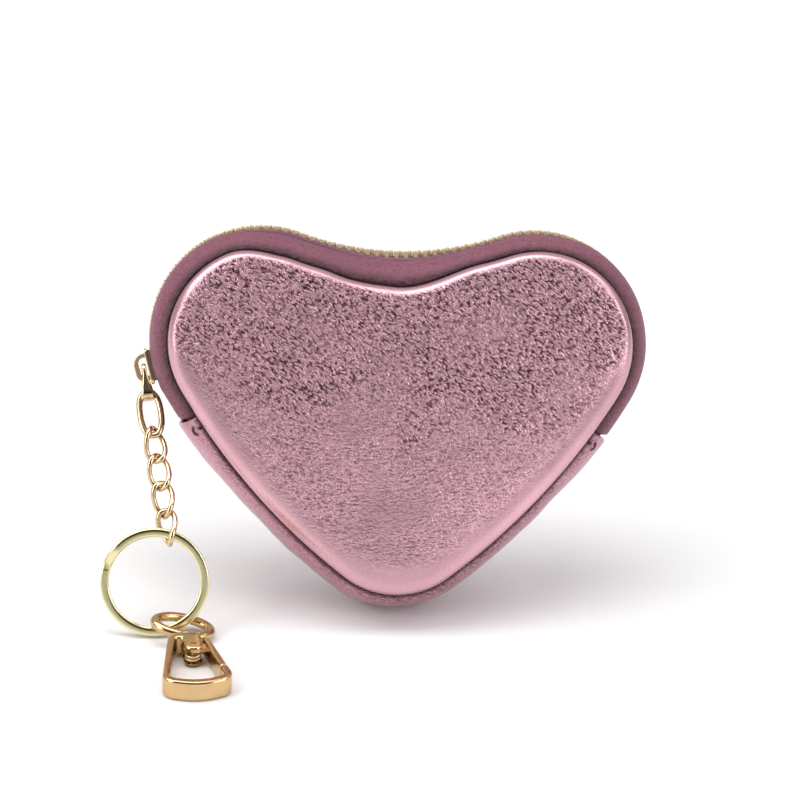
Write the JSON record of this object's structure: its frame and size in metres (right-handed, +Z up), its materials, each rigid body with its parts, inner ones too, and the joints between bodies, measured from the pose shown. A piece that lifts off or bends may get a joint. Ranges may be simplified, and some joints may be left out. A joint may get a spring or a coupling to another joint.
{
  "type": "keychain coin purse",
  "caption": "Heart-shaped padded coin purse with a zip round its top, whose slider carries a chain, a split ring and a swivel clasp.",
  "frame": {"origin": "middle of the flat on the back panel, outside", "axes": "+X along the purse's width, away from the zip slider; +Y away from the front panel, level; +Z up, with the purse leaning back 20 degrees as in the picture"},
  "size_m": [0.1257, 0.0847, 0.0852],
  "materials": {
    "pink_foil_leather": "crackled metallic foil over leather",
    "mauve_leather": "smooth, satin",
    "foam": "soft",
    "lining_cloth": "plain weave",
    "tape_cloth": "woven",
    "zip_gold": "polished",
    "rose_gold": "polished",
    "ring_gold": "polished"
  },
  "bodies": {
    "purse": {"front_panel": "pink_foil_leather", "front_padding": "foam", "front_lining": "lining_cloth", "front_zip_strip": "mauve_leather", "front_zip_tape": "tape_cloth", "front_zip_teeth": "zip_gold", "back_panel": "pink_foil_leather", "back_padding": "foam", "back_lining": "lining_cloth", "back_zip_strip": "mauve_leather", "back_zip_tape": "tape_cloth", "back_zip_teeth": "zip_gold", "bottom_gusset": "pink_foil_leather", "front_top_stop": "zip_gold", "back_top_stop": "zip_gold", "bottom_stop": "zip_gold"},
    "slider": {"slider_body": "rose_gold"},
    "pull": {"slider_pull": "rose_gold"},
    "oval": {"oval_link": "rose_gold"},
    "link_1": {"chain_link_1": "rose_gold"},
    "link_2": {"chain_link_2": "rose_gold"},
    "link_3": {"chain_link_3": "rose_gold"},
    "link_4": {"chain_link_4": "rose_gold"},
    "ring": {"split_ring": "ring_gold"},
    "eye": {"clasp_eye": "rose_gold"},
    "hook": {"clasp_body": "rose_gold", "clasp_gate_pin": "rose_gold"},
    "gate": {"clasp_gate": "rose_gold", "clasp_gate_spring": "zip_gold"}
  },
  "joints": [
    {"name": "zip_travel", "type": "hinge", "parent": "purse", "child": "slider", "pos_m": [-0.0316, -0.00874, 0.01838], "axis": [0, 0.9397, -0.342], "range_deg": [0, 115], "deforming": ["front_zip_teeth", "back_zip_teeth"]},
    {"name": "pull_swing", "type": "hinge", "parent": "slider", "child": "pull", "pos_m": [-0.05881, -0.01048, 0.01126], "axis": [0, -0.7602, 0.6497], "range_deg": [-55, 5]},
    {"name": "oval_link_swing", "type": "hinge", "parent": "pull", "child": "oval", "pos_m": [-0.05785, -0.01443, 0.00664], "axis": [0.9877, 0.1016, 0.1189], "range_deg": [-50, 50]},
    {"name": "link_1_swing", "type": "hinge", "parent": "oval", "child": "link_1", "pos_m": [-0.05622, -0.0211, -0.00117], "axis": [-0.9877, -0.1016, -0.1189], "range_deg": [-20, 20]},
    {"name": "link_2_swing", "type": "hinge", "parent": "link_1", "child": "link_2", "pos_m": [-0.05546, -0.02423, -0.00483], "axis": [0.7105, 0.6012, -0.3658], "range_deg": [-35, 35]},
    {"name": "link_3_swing", "type": "hinge", "parent": "link_2", "child": "link_3", "pos_m": [-0.05422, -0.02933, -0.0108], "axis": [-0.6861, 0.4762, -0.55], "range_deg": [-35, 35]},
    {"name": "link_4_swing", "type": "hinge", "parent": "link_3", "child": "link_4", "pos_m": [-0.0534, -0.0327, -0.01474], "axis": [0.9871, 0.1281, 0.0962], "range_deg": [-35, 35]},
    {"name": "ring_swing", "type": "hinge", "parent": "link_4", "child": "ring", "pos_m": [-0.05253, -0.03626, -0.0189], "axis": [-1, 0, 0], "range_deg": [-45, 10]},
    {"name": "clasp_eye_swing", "type": "hinge", "parent": "ring", "child": "eye", "pos_m": [-0.04907, -0.04332, -0.0383], "axis": [0.829, 0.1913, 0.5255], "range_deg": [-50, 50]},
    {"name": "clasp_swivel", "type": "hinge", "parent": "eye", "child": "hook", "pos_m": [-0.04892, -0.04461, -0.03833], "axis": [0.1218, -0.9924, -0.0196], "continuous": true},
    {"name": "gate_open", "type": "hinge", "parent": "hook", "child": "gate", "pos_m": [-0.04666, -0.05642, -0.03856], "axis": [-0.0024, 0.0194, -0.9998], "range_deg": [0, 25], "stiffness_Nm_per_rad": 0.004, "springref_deg": -17.19, "deforming": ["clasp_gate_spring"]}
  ]
}
